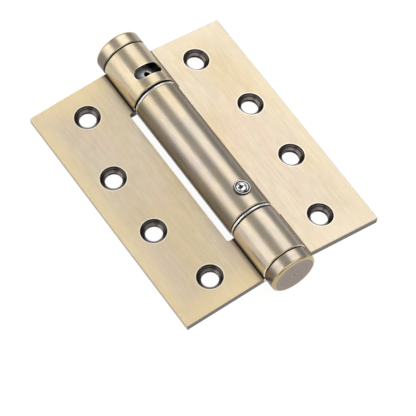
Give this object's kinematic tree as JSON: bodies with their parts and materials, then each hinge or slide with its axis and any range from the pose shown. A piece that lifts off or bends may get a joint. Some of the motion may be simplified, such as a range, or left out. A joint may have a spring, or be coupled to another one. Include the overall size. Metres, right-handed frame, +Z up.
{
  "type": "spring loaded door hinge",
  "caption": "Self closing butt hinge with a spring barrel, adjusting window, capped ends and countersunk leaves, opened flat.",
  "frame": {"origin": "on the table under the middle of the barrel, with the hinge opened flat on its back", "axes": "+Y along the hinge axis towards the adjusting window, +X towards the door leaf, +Z up on the countersunk side"},
  "size_m": [0.0822, 0.1134, 0.02],
  "materials": {
    "antique_brass": "brushed antique brass",
    "polished_steel": "polished",
    "machined_steel": "machined, oiled",
    "blackened_steel": "blackened",
    "spring_steel": "oil tempered wire",
    "bearing_bronze": "sintered bronze",
    "black_polymer": "moulded"
  },
  "bodies": {
    "frame": {"frame_leaf": "antique_brass", "top_cap": "antique_brass", "bottom_cap": "antique_brass", "pivot_seat": "machined_steel", "pivot_pin": "machined_steel", "upper_slip_washer": "black_polymer", "lower_steel_washer": "polished_steel", "bottom_slip_washer": "black_polymer"},
    "door": {"door_leaf": "antique_brass", "barrel_bush": "bearing_bronze", "spring_anchor": "machined_steel", "pivot_bush": "bearing_bronze", "guide_rod": "machined_steel", "torsion_spring": "spring_steel", "ball_pin": "polished_steel", "pin_collar": "blackened_steel", "upper_steel_washer": "polished_steel", "lower_slip_washer": "black_polymer"},
    "adjuster": {"tension_hub": "polished_steel", "spring_driver": "machined_steel", "driver_pin": "machined_steel"}
  },
  "joints": [
    {"name": "leaf_swing", "type": "hinge", "parent": "frame", "child": "door", "pos_m": [0, 0, 0.009], "axis": [0, 1, 0], "range_deg": [-191.13, 115]},
    {"name": "adjuster_turn", "type": "hinge", "parent": "door", "child": "adjuster", "pos_m": [0, 0, 0.009], "axis": [0, 1, 0], "range_deg": [-300, 0], "stiffness_Nm_per_rad": 0.27, "deforming": ["torsion_spring"]}
  ]
}
